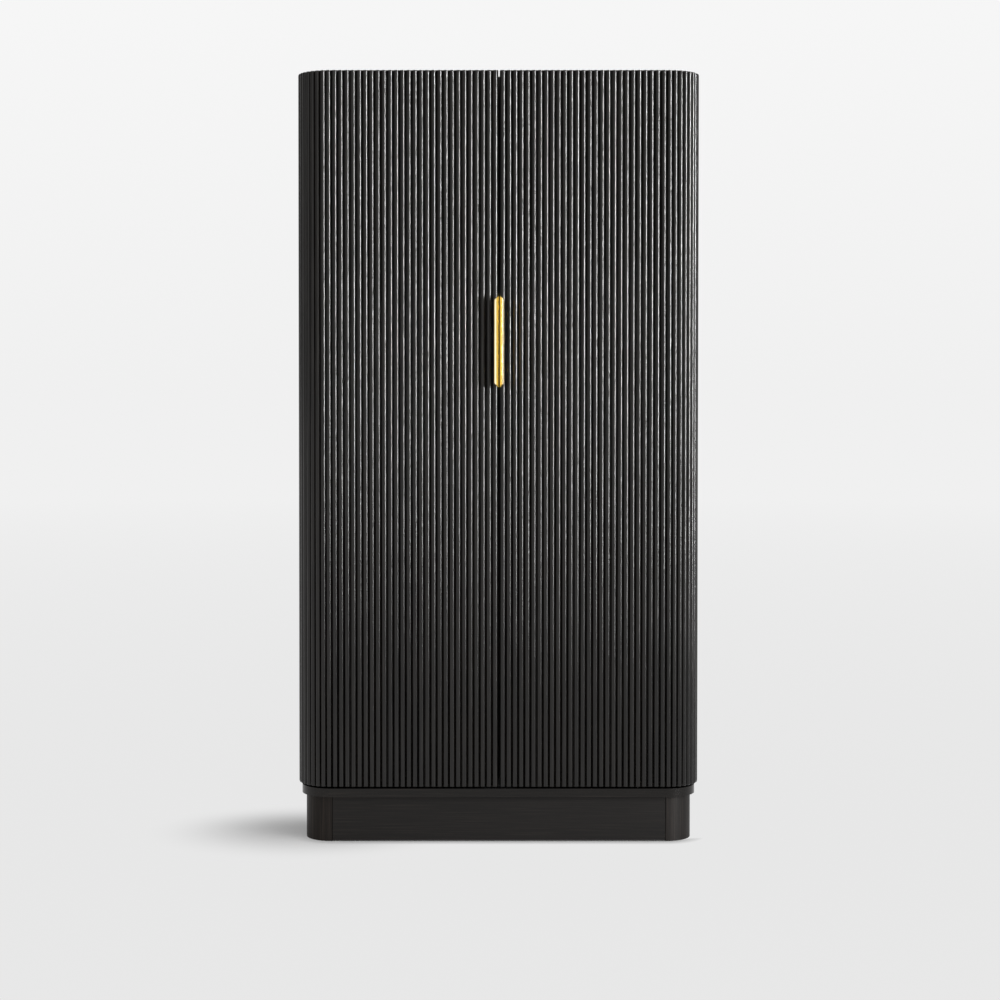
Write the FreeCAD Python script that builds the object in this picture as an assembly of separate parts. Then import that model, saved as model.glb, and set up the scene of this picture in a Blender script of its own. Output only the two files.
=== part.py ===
import FreeCAD, Part
import math
import os

# Bar armoire: a tall two-door drinks cabinet. Its doors wrap round the front corners, doors and
# sides are clad in vertical reeds, and the case stands on a plinth with rounded corner posts.
# Sizes are in millimetres. +X is the right-hand side, -Y the front and +Z up, with the origin on
# the floor under the middle of the whole armoire, pulls included.

# Reeds: half-round beads cut side by side into boards that are glued to a plain core
REED_PITCH = 14.2
REED_HEIGHT = 7.0
GROOVE_DEPTH = 5.2
GROOVE_WIDTH = 1.6
FRONT_REEDS = 27
CORNER_REEDS = 9
SIDE_REEDS = 30
BOARD_REEDS = 6
BOARD_JOINT = 0.4

# Doors and case panels
HEIGHT = 1778.0
DOOR_GAP = 3.5
DOOR_CORE = 18.0
DOOR_BACK_GAP = 2.0
DOOR_REVEAL = 5.0
TOP_THICKNESS = 20.0
TOP_DROP = 11.5
BASE_THICKNESS = 20.0
BASE_EASE = 1.5
BACK_THICKNESS = 9.0
BACK_REBATE = 9.0
BACK_CLEARANCE = 0.5

# Plinth
PLINTH_HEIGHT = 104.0
PLINTH_INSET = 17.0
PLINTH_RAIL = 20.0
PLINTH_LIFT = 2.3

# Hinges: butt hinges whose knuckles take the place of one bead in the row of reeds
HINGE_COUNT = 4
HINGE_HEIGHT = 76.0
HINGE_MARGIN = 120.0
HINGE_SEAM = 1.5
BEAD_QUIRK = 0.6
BARREL_INSET = 0.5
BARREL_CLEARANCE = 1.0
PIN_RADIUS = 3.0
PIN_FIT = 0.05
PIN_HEAD_RADIUS = 4.5
PIN_HEAD_HEIGHT = 2.5
KNUCKLE_GAP = 0.3
LEAF_WIDTH = 16.5
LEAF_THICKNESS = 2.5

# Pulls: a pair of bevelled half bars with mitred ends, one on the meeting edge of each door
PULL_HEIGHT = 213.0
PULL_CENTRE = 1156.0
PULL_GAP = 1.5
PULL_WIDTH = 10.85
PULL_THICKNESS = 12.0
PULL_STANDOFF = 16.0
PULL_BEVEL = 5.0
PULL_INNER_BEVEL = 0.9
PULL_INNER_DEPTH = 2.5
PULL_END_SLOPE = 9.0
PULL_END_BEVEL = 2.5
PULL_POST_INSET = 5.4
PULL_POST_RADIUS = 3.5
PULL_POST_SPACING = 128.0
PULL_POST_FIT = 0.1
PULL_SCREW_RADIUS = 2.0
PULL_SCREW_FIT = 0.1
PULL_SCREW_BITE = 12.0
PULL_SCREW_HEAD_RADIUS = 4.0
PULL_SCREW_HEAD_HEIGHT = 2.4

# Door racks
RACK_DEPTH = 92.0
RACK_SHELF = 12.0
RACK_END = 10.0
RACK_END_HEIGHT = 110.0
RACK_END_ROUND = 45.0
RACK_INNER_MARGIN = 24.0
RACK_OUTER_MARGIN = 14.0
RACK_LOWER_HEIGHT = 330.0
RACK_UPPER_HEIGHT = 1010.0
RACK_RAIL_RADIUS = 4.0
RACK_RAIL_HEIGHT = 78.0
RACK_RAIL_INSET = 12.0
RACK_RAIL_SOCKET = 5.0
RACK_RAIL_FIT = 0.05
RACK_SHELF_CLEARANCE = 12.0

# Shelves and dividers inside the case, heights to their top faces
SHELF_THICKNESS = 20.0
SERVING_HEIGHT = 930.0
UPPER_SHELF_HEIGHT = 1390.0
LOWER_SHELF_HEIGHT = 524.0
DIVIDER_THICKNESS = 18.0
CROSS_THICKNESS = 12.0
CROSS_LAP_CLEARANCE = 0.2
ADJUSTABLE_CLEARANCE = 1.0
SHELF_PIN_RADIUS = 2.5
SHELF_PIN_FIT = 0.05
SHELF_PIN_DEPTH = 9.0
SHELF_PIN_TAB = 8.0
SHELF_PIN_TAB_WIDTH = 10.0
SHELF_PIN_TAB_THICKNESS = 2.0
SHELF_PIN_MARGIN = 50.0

# Stemware rails: I sections that hold the feet of hanging glasses
STEM_SLOTS = 5
STEM_SLOT = 32.0
STEM_FLANGE = 78.0
STEM_CAP = 20.0
STEM_SECTION = 3.0
STEM_DROP = 26.0
STEM_SETBACK = 10.0
STEM_LENGTH = 260.0

# Magnetic catches, each shared by both doors, and their strike plates
CATCH_WIDTH = 70.0
CATCH_DEPTH = 18.0
CATCH_HEIGHT = 20.0
STRIKE_WIDTH = 26.0
STRIKE_HEIGHT = 13.0
STRIKE_THICKNESS = 1.5
STRIKE_MARGIN = 4.0

# Plan geometry that follows from the sizes above
CORNER_RADIUS = CORNER_REEDS * REED_PITCH * 2 / math.pi
DOOR_EDGE = DOOR_GAP / 2
CORNER_X = DOOR_EDGE + FRONT_REEDS * REED_PITCH
HALF_WIDTH = CORNER_X + CORNER_RADIUS
DEPTH = CORNER_RADIUS + SIDE_REEDS * REED_PITCH
PULL_PROJECTION = PULL_STANDOFF + PULL_THICKNESS
FRONT = (PULL_PROJECTION - DEPTH) / 2
BACK = FRONT + DEPTH
CORNER_Y = FRONT + CORNER_RADIUS
CORE_FACE = FRONT + REED_HEIGHT
DOOR_INSIDE = CORE_FACE + DOOR_CORE
CORE_SIDE = HALF_WIDTH - REED_HEIGHT
CASE_INSET = REED_HEIGHT + DOOR_CORE + DOOR_BACK_GAP
INNER_X = HALF_WIDTH - CASE_INSET
BACK_FACE = BACK - BACK_THICKNESS
SHELF_FRONT = DOOR_INSIDE + RACK_DEPTH + RACK_SHELF_CLEARANCE
BEAD_RADIUS = REED_PITCH / 2 - BEAD_QUIRK
BARREL_RADIUS = BEAD_RADIUS - BARREL_INSET
HINGE_X = CORE_SIDE
HINGE_Y = CORNER_Y + REED_PITCH / 2
SIDE_FRONT = HINGE_Y - BEAD_RADIUS
DOOR_END = SIDE_FRONT - HINGE_SEAM

# Heights that follow from the sizes above
BASE_TOP = PLINTH_HEIGHT + BASE_THICKNESS
DOOR_BOTTOM = BASE_TOP + DOOR_REVEAL
TOP_SURFACE = HEIGHT - TOP_DROP
TOP_UNDERSIDE = TOP_SURFACE - TOP_THICKNESS
HINGE_FIRST = DOOR_BOTTOM + HINGE_MARGIN
HINGE_STEP = (HEIGHT - HINGE_MARGIN - HINGE_FIRST) / (HINGE_COUNT - 1)
HINGE_HEIGHTS = [HINGE_FIRST + i * HINGE_STEP for i in range(HINGE_COUNT)]

# Reed section: height of the groove floor above the core and half the width at the floor
REED_FLOOR = REED_HEIGHT - GROOVE_DEPTH
REED_FOOT = (REED_PITCH - GROOVE_WIDTH) / 2


def vector(x, y, z=0.0):
    return FreeCAD.Vector(x, y, z)


def line(start, end):
    return Part.LineSegment(vector(*start), vector(*end)).toShape()


def arc(start, middle, end):
    return Part.Arc(vector(*start), vector(*middle), vector(*end)).toShape()


def polygon(points):
    return [line(a, b) for a, b in zip(points, points[1:] + points[:1])]


def prism(edges, travel):
    """Solid swept by a closed outline along a straight travel."""
    return Part.Face(Part.Wire(edges)).extrude(vector(*travel))


def upright(edges, bottom, top):
    """Solid with a plan outline, from one height to another."""
    solid = prism(edges, (0, 0, top - bottom))
    solid.translate(vector(0, 0, bottom))
    return solid


def block(x, y, z):
    """Box between pairs of coordinates."""
    solid = Part.makeBox(x[1] - x[0], y[1] - y[0], z[1] - z[0])
    solid.translate(vector(x[0], y[0], z[0]))
    return solid


def rod(radius, start, end):
    """Round bar between two points."""
    path = vector(*end) - vector(*start)
    return Part.makeCylinder(radius, path.Length, vector(*start), path)


def mirrored(shape):
    """The same piece on the left-hand side."""
    return shape.mirror(vector(0, 0), vector(1, 0))


def save(name, solids):
    """Write one node, made of one solid or of several separate ones."""
    shape = solids[0] if len(solids) == 1 else Part.makeCompound(solids)
    shape.exportStep(os.path.join("parts", name + ".step"))


def save_pair(name, solids):
    """Write a right-hand node and its left-hand mirror image."""
    save("right_" + name, solids)
    save("left_" + name, [mirrored(solid) for solid in solids])


def on_front(u, v):
    """Plan point at u along the right door from its meeting edge, v in front of its core."""
    return DOOR_EDGE + u, CORE_FACE - v


def on_corner(u, v):
    """Plan point at u round the right corner, measured on the crowns, v outside its core."""
    angle = u / CORNER_RADIUS
    radius = CORNER_RADIUS - REED_HEIGHT + v
    return CORNER_X + radius * math.sin(angle), CORNER_Y - radius * math.cos(angle)


def on_side(u, v):
    """Plan point at u behind the end of the right corner, v outside the side core."""
    return CORE_SIDE + v, CORNER_Y + u


def reed_run(place, reeds, start, end):
    """Edges over a run of reeds, from groove floor to groove floor."""
    edges = []
    here = place(start, REED_FLOOR)
    for reed in reeds:
        centre = (reed + 0.5) * REED_PITCH
        left_foot = place(centre - REED_FOOT, REED_FLOOR)
        right_foot = place(centre + REED_FOOT, REED_FLOOR)
        edges.append(line(here, left_foot))
        edges.append(arc(left_foot, place(centre, REED_HEIGHT), right_foot))
        here = right_foot
    edges.append(line(here, place(end, REED_FLOOR)))
    return edges


def reed_boards(place, first, last, bottom):
    """Reeded boards side by side, each with a few reeds and a fine joint to the next."""
    boards = []
    for reed in range(first, last, BOARD_REEDS):
        stop = min(reed + BOARD_REEDS, last)
        start = reed * REED_PITCH + (BOARD_JOINT / 2 if reed > first else 0)
        end = stop * REED_PITCH - (BOARD_JOINT / 2 if stop < last else 0)
        edges = reed_run(place, range(reed, stop), start, end)
        edges.append(line(place(end, REED_FLOOR), place(end, 0)))
        edges.append(line(place(end, 0), place(start, 0)))
        edges.append(line(place(start, 0), place(start, REED_FLOOR)))
        boards.append(upright(edges, bottom, HEIGHT))
    return boards


def round_front(inset, back):
    """Plan outline with both front corners rounded, at an inset from the reed crowns."""
    radius = CORNER_RADIUS - inset
    half = HALF_WIDTH - inset
    front = FRONT + inset
    turn = radius * math.sqrt(0.5)
    right_turn = (CORNER_X + turn, CORNER_Y - turn)
    left_turn = (-CORNER_X - turn, CORNER_Y - turn)
    return [
        line((-CORNER_X, front), (CORNER_X, front)),
        arc((CORNER_X, front), right_turn, (half, CORNER_Y)),
        line((half, CORNER_Y), (half, back)),
        line((half, back), (-half, back)),
        line((-half, back), (-half, CORNER_Y)),
        arc((-half, CORNER_Y), left_turn, (-CORNER_X, front)),
    ]


def ring(outer, inner, bottom, top):
    """Upright tube round the hinge axis."""
    tube = rod(outer, (HINGE_X, HINGE_Y, bottom), (HINGE_X, HINGE_Y, top))
    return tube.cut(rod(inner, (HINGE_X, HINGE_Y, bottom), (HINGE_X, HINGE_Y, top)))


def plinth():
    """Rounded posts in front, square posts behind and rails between them, held off the floor."""
    radius = CORNER_RADIUS - PLINTH_INSET
    outside = HALF_WIDTH - PLINTH_INSET
    front = FRONT + PLINTH_INSET
    back = BACK - PLINTH_INSET
    turn = radius * math.sqrt(0.5)
    quarter = [
        arc((CORNER_X, front), (CORNER_X + turn, CORNER_Y - turn), (outside, CORNER_Y)),
        line((outside, CORNER_Y), (CORNER_X, CORNER_Y)),
        line((CORNER_X, CORNER_Y), (CORNER_X, front)),
    ]
    rail_height = (PLINTH_LIFT, PLINTH_HEIGHT)
    save_pair("plinth_front_post", [upright(quarter, 0, PLINTH_HEIGHT)])
    save_pair("plinth_rear_post", [block((CORNER_X, outside), (back - radius, back), (0, PLINTH_HEIGHT))])
    side_span = (CORNER_Y, back - radius)
    save_pair("plinth_side_rail", [block((outside - PLINTH_RAIL, outside), side_span, rail_height)])
    save("plinth_front_rail", [block((-CORNER_X, CORNER_X), (front, front + PLINTH_RAIL), rail_height)])
    save("plinth_rear_rail", [block((-CORNER_X, CORNER_X), (back - PLINTH_RAIL, back), rail_height)])


def base_panel():
    """Base that shows as a ledge under the doors, with eased front and side edges."""
    panel = upright(round_front(REED_HEIGHT, BACK), PLINTH_HEIGHT, BASE_TOP)
    eased = []
    for edge in panel.Edges:
        box = edge.BoundBox
        if box.ZLength < BASE_EASE and box.YMin < BACK - BASE_EASE:
            eased.append(edge)
    save("base_panel", [panel.makeFillet(BASE_EASE, eased)])


def case_sides():
    """Side cores with their hinge pockets and back rebate, their reeds and their hinge beads."""
    core = block((INNER_X, CORE_SIDE), (SIDE_FRONT, BACK), (BASE_TOP, HEIGHT))
    rebate = (BACK_FACE, BACK)
    core = core.cut(block((INNER_X, INNER_X + BACK_REBATE), rebate, (BASE_TOP, TOP_SURFACE)))
    pin_x = INNER_X + SHELF_PIN_DEPTH
    for y in shelf_pin_places():
        start = (INNER_X, y, shelf_pin_height())
        core = core.cut(rod(SHELF_PIN_RADIUS + SHELF_PIN_FIT, start, (pin_x, y, shelf_pin_height())))
    pocket_half = HINGE_HEIGHT / 2 + PIN_HEAD_HEIGHT + BARREL_CLEARANCE
    bead_ends = [DOOR_BOTTOM]
    for z in HINGE_HEIGHTS:
        pocket = (z - pocket_half, z + pocket_half)
        axis = [(HINGE_X, HINGE_Y, end) for end in pocket]
        core = core.cut(rod(BARREL_RADIUS + BARREL_CLEARANCE, axis[0], axis[1]))
        leaf = (z - HINGE_HEIGHT / 2, z + HINGE_HEIGHT / 2)
        mortise = block((HINGE_X - LEAF_WIDTH, HINGE_X), (SIDE_FRONT, SIDE_FRONT + LEAF_THICKNESS), leaf)
        core = core.cut(mortise)
        bead_ends += pocket
    bead_ends.append(HEIGHT)
    save_pair("side_core", [core])
    save_pair("side_reeds", reed_boards(on_side, 1, SIDE_REEDS, DOOR_BOTTOM))
    half_round = [
        line((HINGE_X, HINGE_Y + BEAD_RADIUS), (HINGE_X, HINGE_Y - BEAD_RADIUS)),
        arc((HINGE_X, HINGE_Y - BEAD_RADIUS), (HINGE_X + BEAD_RADIUS, HINGE_Y),
            (HINGE_X, HINGE_Y + BEAD_RADIUS)),
    ]
    spans = zip(bead_ends[0::2], bead_ends[1::2])
    save_pair("hinge_bead", [upright(half_round, bottom, top) for bottom, top in spans])


def top_and_back():
    """Top let in below the rim of doors and sides, and a back panel in the side rebates."""
    save("top_panel", [upright(round_front(CASE_INSET, BACK_FACE), TOP_UNDERSIDE, TOP_SURFACE)])
    half = INNER_X + BACK_REBATE - BACK_CLEARANCE
    save("back_panel", [block((-half, half), (BACK_FACE, BACK), (BASE_TOP, TOP_SURFACE))])


def hinges():
    """Case leaves, door leaves and pins. The door's knuckle turns between two of the case's."""
    knuckle = (HINGE_HEIGHT - 2 * KNUCKLE_GAP) / 3
    bore = PIN_RADIUS + PIN_FIT
    case_leaves = []
    door_leaves = []
    pins = []
    for z in HINGE_HEIGHTS:
        low = z - HINGE_HEIGHT / 2
        high = z + HINGE_HEIGHT / 2
        door_span = (low + knuckle + KNUCKLE_GAP, high - knuckle - KNUCKLE_GAP)
        clear = BARREL_RADIUS + BARREL_CLEARANCE / 2
        leaf = block((HINGE_X - LEAF_WIDTH, HINGE_X - clear), (SIDE_FRONT, SIDE_FRONT + LEAF_THICKNESS),
                     (low, high))
        for span in ((low, low + knuckle), (high - knuckle, high)):
            tongue = block((HINGE_X - clear, HINGE_X), (SIDE_FRONT, SIDE_FRONT + LEAF_THICKNESS), span)
            hole = rod(bore, (HINGE_X, HINGE_Y, low), (HINGE_X, HINGE_Y, high))
            leaf = leaf.fuse(ring(BARREL_RADIUS, bore, span[0], span[1])).fuse(tongue).cut(hole)
        case_leaves.append(leaf.removeSplitter())
        plate = block((HINGE_X - LEAF_WIDTH, HINGE_X), (DOOR_END - LEAF_THICKNESS, DOOR_END), (low, high))
        neck_depth = (DOOR_END - LEAF_THICKNESS, HINGE_Y - bore)
        neck = block((HINGE_X - LEAF_THICKNESS, HINGE_X), neck_depth, door_span)
        barrel = ring(BARREL_RADIUS, bore, door_span[0], door_span[1])
        hole = rod(bore, (HINGE_X, HINGE_Y, low), (HINGE_X, HINGE_Y, high))
        door_leaves.append(plate.fuse(neck).fuse(barrel).cut(hole).removeSplitter())
        pin = rod(PIN_RADIUS, (HINGE_X, HINGE_Y, low), (HINGE_X, HINGE_Y, high))
        for end, tip in ((low, low - PIN_HEAD_HEIGHT), (high, high + PIN_HEAD_HEIGHT)):
            pin = pin.fuse(rod(PIN_HEAD_RADIUS, (HINGE_X, HINGE_Y, end), (HINGE_X, HINGE_Y, tip)))
        pins.append(pin)
    save_pair("hinge_case_leaves", case_leaves)
    save_pair("hinge_door_leaves", door_leaves)
    save_pair("hinge_pins", pins)


def pull_posts():
    """Plan place and heights of the posts that carry each pull."""
    x = DOOR_EDGE + PULL_POST_INSET
    return [(x, PULL_CENTRE + side * PULL_POST_SPACING / 2) for side in (-1, 1)]


def doors():
    """Flat cores, reeded boards and one-piece reeded corners with the door leaves let in."""
    core = block((DOOR_EDGE, CORNER_X), (CORE_FACE, DOOR_INSIDE), (DOOR_BOTTOM, HEIGHT))
    boards = reed_boards(on_front, 0, FRONT_REEDS, DOOR_BOTTOM)
    for x, z in pull_posts():
        screw = rod(PULL_SCREW_RADIUS + PULL_SCREW_FIT, (x, CORE_FACE, z), (x, DOOR_INSIDE, z))
        core = core.cut(screw)
        post = rod(PULL_POST_RADIUS + PULL_POST_FIT, (x, FRONT, z), (x, CORE_FACE, z))
        boards[0] = boards[0].cut(post)
    save_pair("door_core", [core])
    save_pair("door_reeds", boards)
    end = CORNER_REEDS * REED_PITCH
    edges = reed_run(on_corner, range(CORNER_REEDS), 0, end)
    edges.append(line(on_corner(end, REED_FLOOR), on_corner(end, -DOOR_CORE)))
    edges.append(arc(on_corner(end, -DOOR_CORE), on_corner(end / 2, -DOOR_CORE), on_corner(0, -DOOR_CORE)))
    edges.append(line(on_corner(0, -DOOR_CORE), on_corner(0, REED_FLOOR)))
    corner = upright(edges, DOOR_BOTTOM, HEIGHT)
    beyond = (CORNER_X, HALF_WIDTH + REED_HEIGHT)
    corner = corner.cut(block(beyond, (DOOR_END, BACK), (DOOR_BOTTOM, HEIGHT)))
    for z in HINGE_HEIGHTS:
        leaf = (z - HINGE_HEIGHT / 2, z + HINGE_HEIGHT / 2)
        mortise = block((HINGE_X - LEAF_WIDTH, HINGE_X), (DOOR_END - LEAF_THICKNESS, DOOR_END), leaf)
        corner = corner.cut(mortise)
    save_pair("door_corner", [corner])


def pulls():
    """Bevelled half bars on two posts each, screwed from inside the door."""
    inside = PULL_GAP / 2
    outside = inside + PULL_WIDTH
    back = FRONT - PULL_STANDOFF
    front = back - PULL_THICKNESS
    low = PULL_CENTRE - PULL_HEIGHT / 2
    high = PULL_CENTRE + PULL_HEIGHT / 2
    section = polygon([
        (inside, back),
        (inside, front + PULL_INNER_DEPTH),
        (inside + PULL_INNER_BEVEL, front),
        (outside - PULL_BEVEL, front),
        (outside, front + PULL_BEVEL),
        (outside, back),
    ])
    face = polygon([
        (inside, front, low),
        (outside, front, low + PULL_END_SLOPE),
        (outside, front, high - PULL_END_SLOPE),
        (inside, front, high),
    ])
    bar = upright(section, low, high).common(prism(face, (0, PULL_THICKNESS, 0)))
    rim = []
    for edge in bar.Edges:
        runs_across = edge.BoundBox.XLength > PULL_INNER_BEVEL / 2
        if runs_across and edge.BoundBox.YMax < (front + back) / 2:
            rim.append(edge)
    bar = bar.makeChamfer(PULL_END_BEVEL, rim)
    posts = []
    screws = []
    for x, z in pull_posts():
        post = rod(PULL_POST_RADIUS, (x, CORE_FACE, z), (x, back, z))
        bite = CORE_FACE - PULL_SCREW_BITE
        posts.append(post.cut(rod(PULL_SCREW_RADIUS + PULL_SCREW_FIT, (x, CORE_FACE, z), (x, bite, z))))
        shank = rod(PULL_SCREW_RADIUS, (x, bite, z), (x, DOOR_INSIDE, z))
        head_end = (x, DOOR_INSIDE + PULL_SCREW_HEAD_HEIGHT, z)
        screws.append(shank.fuse(rod(PULL_SCREW_HEAD_RADIUS, (x, DOOR_INSIDE, z), head_end)))
    save_pair("door_pull", [bar])
    save_pair("pull_posts", posts)
    save_pair("pull_screws", screws)


def door_racks():
    """Two bottle racks inside each door: a shelf, two rounded ends and a brass rail."""
    inner = DOOR_EDGE + RACK_INNER_MARGIN
    outer = CORNER_X - RACK_OUTER_MARGIN
    reach = DOOR_INSIDE + RACK_DEPTH
    rail_y = reach - RACK_RAIL_INSET
    turn = RACK_END_ROUND * (1 - math.sqrt(0.5))
    shelves = []
    ends = []
    rails = []
    for height in (RACK_LOWER_HEIGHT, RACK_UPPER_HEIGHT):
        shelves.append(block((inner, outer), (DOOR_INSIDE, reach), (height - RACK_SHELF, height)))
        top = height + RACK_END_HEIGHT
        rail_z = height + RACK_RAIL_HEIGHT - RACK_RAIL_RADIUS
        left_socket = (inner + RACK_END - RACK_RAIL_SOCKET, rail_y, rail_z)
        right_socket = (outer - RACK_END + RACK_RAIL_SOCKET, rail_y, rail_z)
        hole = rod(RACK_RAIL_RADIUS + RACK_RAIL_FIT, left_socket, right_socket)
        for x in (inner, outer - RACK_END):
            outline = [
                line((x, DOOR_INSIDE, height), (x, reach, height)),
                line((x, reach, height), (x, reach, top - RACK_END_ROUND)),
                arc((x, reach, top - RACK_END_ROUND), (x, reach - turn, top - turn),
                    (x, reach - RACK_END_ROUND, top)),
                line((x, reach - RACK_END_ROUND, top), (x, DOOR_INSIDE, top)),
                line((x, DOOR_INSIDE, top), (x, DOOR_INSIDE, height)),
            ]
            ends.append(prism(outline, (RACK_END, 0, 0)).cut(hole))
        rails.append(rod(RACK_RAIL_RADIUS, left_socket, right_socket))
    save_pair("door_rack_shelves", shelves)
    save_pair("door_rack_ends", ends)
    save_pair("door_rack_rails", rails)


def fixed_shelves():
    """Serving shelf, upper shelf, lower divider and the shelf over the bottle cross."""
    depth = (SHELF_FRONT, BACK_FACE)
    width = (-INNER_X, INNER_X)
    serving_underside = SERVING_HEIGHT - SHELF_THICKNESS
    half = DIVIDER_THICKNESS / 2
    save("serving_shelf", [block(width, depth, (serving_underside, SERVING_HEIGHT))])
    save("upper_shelf", [block(width, depth, (UPPER_SHELF_HEIGHT - SHELF_THICKNESS, UPPER_SHELF_HEIGHT))])
    divider = block((-half, half), depth, (BASE_TOP, serving_underside))
    for y in shelf_pin_places():
        end = (half - SHELF_PIN_DEPTH, y, shelf_pin_height())
        divider = divider.cut(rod(SHELF_PIN_RADIUS + SHELF_PIN_FIT, (half, y, shelf_pin_height()), end))
    save("lower_divider", [divider])
    lower = (LOWER_SHELF_HEIGHT - SHELF_THICKNESS, LOWER_SHELF_HEIGHT)
    save("bottle_shelf", [block((-INNER_X, -half), depth, lower)])


def cross_band(rising, widen):
    """Outline of one board of the bottle cross, from corner to corner of the left-hand bay."""
    left = -INNER_X
    right = -DIVIDER_THICKNESS / 2
    low = BASE_TOP
    high = LOWER_SHELF_HEIGHT - SHELF_THICKNESS
    length = math.hypot(right - left, high - low)
    half = CROSS_THICKNESS / 2 + widen
    along_x = half * length / (high - low)
    along_z = half * length / (right - left)
    rising_band = [
        (left, low), (left + along_x, low), (right, high - along_z),
        (right, high), (right - along_x, high), (left, low + along_z),
    ]
    falling_band = [(left + right - x, z) for x, z in rising_band]
    band = rising_band if rising else falling_band
    return polygon([(x, SHELF_FRONT, z) for x, z in band])


def bottle_cross():
    """Two boards halved into each other, which part the left-hand bay into four bottle bins."""
    depth = BACK_FACE - SHELF_FRONT
    rising = prism(cross_band(True, 0), (0, depth, 0))
    falling = prism(cross_band(False, 0), (0, depth, 0))
    front_lap = prism(cross_band(False, CROSS_LAP_CLEARANCE), (0, depth / 2, 0))
    rear_lap = prism(cross_band(True, CROSS_LAP_CLEARANCE), (0, depth / 2, 0))
    rear_lap.translate(vector(0, depth / 2))
    save("bottle_cross_rising_board", [rising.cut(front_lap)])
    save("bottle_cross_falling_board", [falling.cut(rear_lap)])


def shelf_pin_places():
    """Places of the shelf pins from front to back."""
    return SHELF_FRONT + SHELF_PIN_MARGIN, BACK_FACE - SHELF_PIN_MARGIN


def shelf_pin_height():
    """Height of the shelf pins' centre lines, level with the top of their tabs."""
    return LOWER_SHELF_HEIGHT - SHELF_THICKNESS - SHELF_PIN_RADIUS


def adjustable_shelf():
    """Loose shelf in the right-hand bay on four pins with flat tabs."""
    left = DIVIDER_THICKNESS / 2
    width = (left + ADJUSTABLE_CLEARANCE, INNER_X - ADJUSTABLE_CLEARANCE)
    depth = (SHELF_FRONT, BACK_FACE - ADJUSTABLE_CLEARANCE)
    underside = LOWER_SHELF_HEIGHT - SHELF_THICKNESS
    save("adjustable_shelf", [block(width, depth, (underside, LOWER_SHELF_HEIGHT))])
    pins = []
    for wall, inward in ((left, 1), (INNER_X, -1)):
        for y in shelf_pin_places():
            start = (wall - inward * SHELF_PIN_DEPTH, y, shelf_pin_height())
            pin = rod(SHELF_PIN_RADIUS, start, (wall, y, shelf_pin_height()))
            span = sorted((wall, wall + inward * SHELF_PIN_TAB))
            half = SHELF_PIN_TAB_WIDTH / 2
            tab = block(span, (y - half, y + half), (underside - SHELF_PIN_TAB_THICKNESS, underside))
            pins.append(pin.fuse(tab))
    save("shelf_pins", pins)


def stemware_rails():
    """I-section rails under the upper shelf, with a slot for glass stems between each two."""
    pitch = STEM_FLANGE + STEM_SLOT
    top = UPPER_SHELF_HEIGHT - SHELF_THICKNESS
    bottom = top - STEM_DROP
    web = STEM_SECTION / 2
    y = SHELF_FRONT + STEM_SETBACK
    rails = []
    for i in range(STEM_SLOTS + 1):
        x = (i - STEM_SLOTS / 2) * pitch
        right = [
            (STEM_FLANGE / 2, bottom),
            (STEM_FLANGE / 2, bottom + STEM_SECTION),
            (web, bottom + STEM_SECTION),
            (web, top - STEM_SECTION),
            (STEM_CAP / 2, top - STEM_SECTION),
            (STEM_CAP / 2, top),
        ]
        left = [(-dx, z) for dx, z in reversed(right)]
        section = polygon([(x + dx, y, z) for dx, z in right + left])
        rails.append(prism(section, (0, STEM_LENGTH, 0)))
    save("stemware_rails", rails)


def catches():
    """Double magnetic catches under the top and on the base, and strikes on both doors."""
    front = DOOR_INSIDE + DOOR_BACK_GAP
    half = CATCH_WIDTH / 2
    depth = (front, front + CATCH_DEPTH)
    top_catch = block((-half, half), depth, (TOP_UNDERSIDE - CATCH_HEIGHT, TOP_UNDERSIDE))
    base_catch = block((-half, half), depth, (BASE_TOP, BASE_TOP + CATCH_HEIGHT))
    save("magnet_catches", [top_catch, base_catch])
    x = (DOOR_EDGE + STRIKE_MARGIN, DOOR_EDGE + STRIKE_MARGIN + STRIKE_WIDTH)
    y = (DOOR_INSIDE, DOOR_INSIDE + STRIKE_THICKNESS)
    middles = (TOP_UNDERSIDE - CATCH_HEIGHT / 2, BASE_TOP + CATCH_HEIGHT / 2)
    strikes = [block(x, y, (z - STRIKE_HEIGHT / 2, z + STRIKE_HEIGHT / 2)) for z in middles]
    save_pair("catch_strikes", strikes)


os.makedirs("parts", exist_ok=True)
plinth()
base_panel()
case_sides()
top_and_back()
hinges()
doors()
pulls()
door_racks()
fixed_shelves()
bottle_cross()
adjustable_shelf()
stemware_rails()
catches()
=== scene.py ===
import math
import random

import bmesh
import bpy
from mathutils import Matrix, Vector


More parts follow.
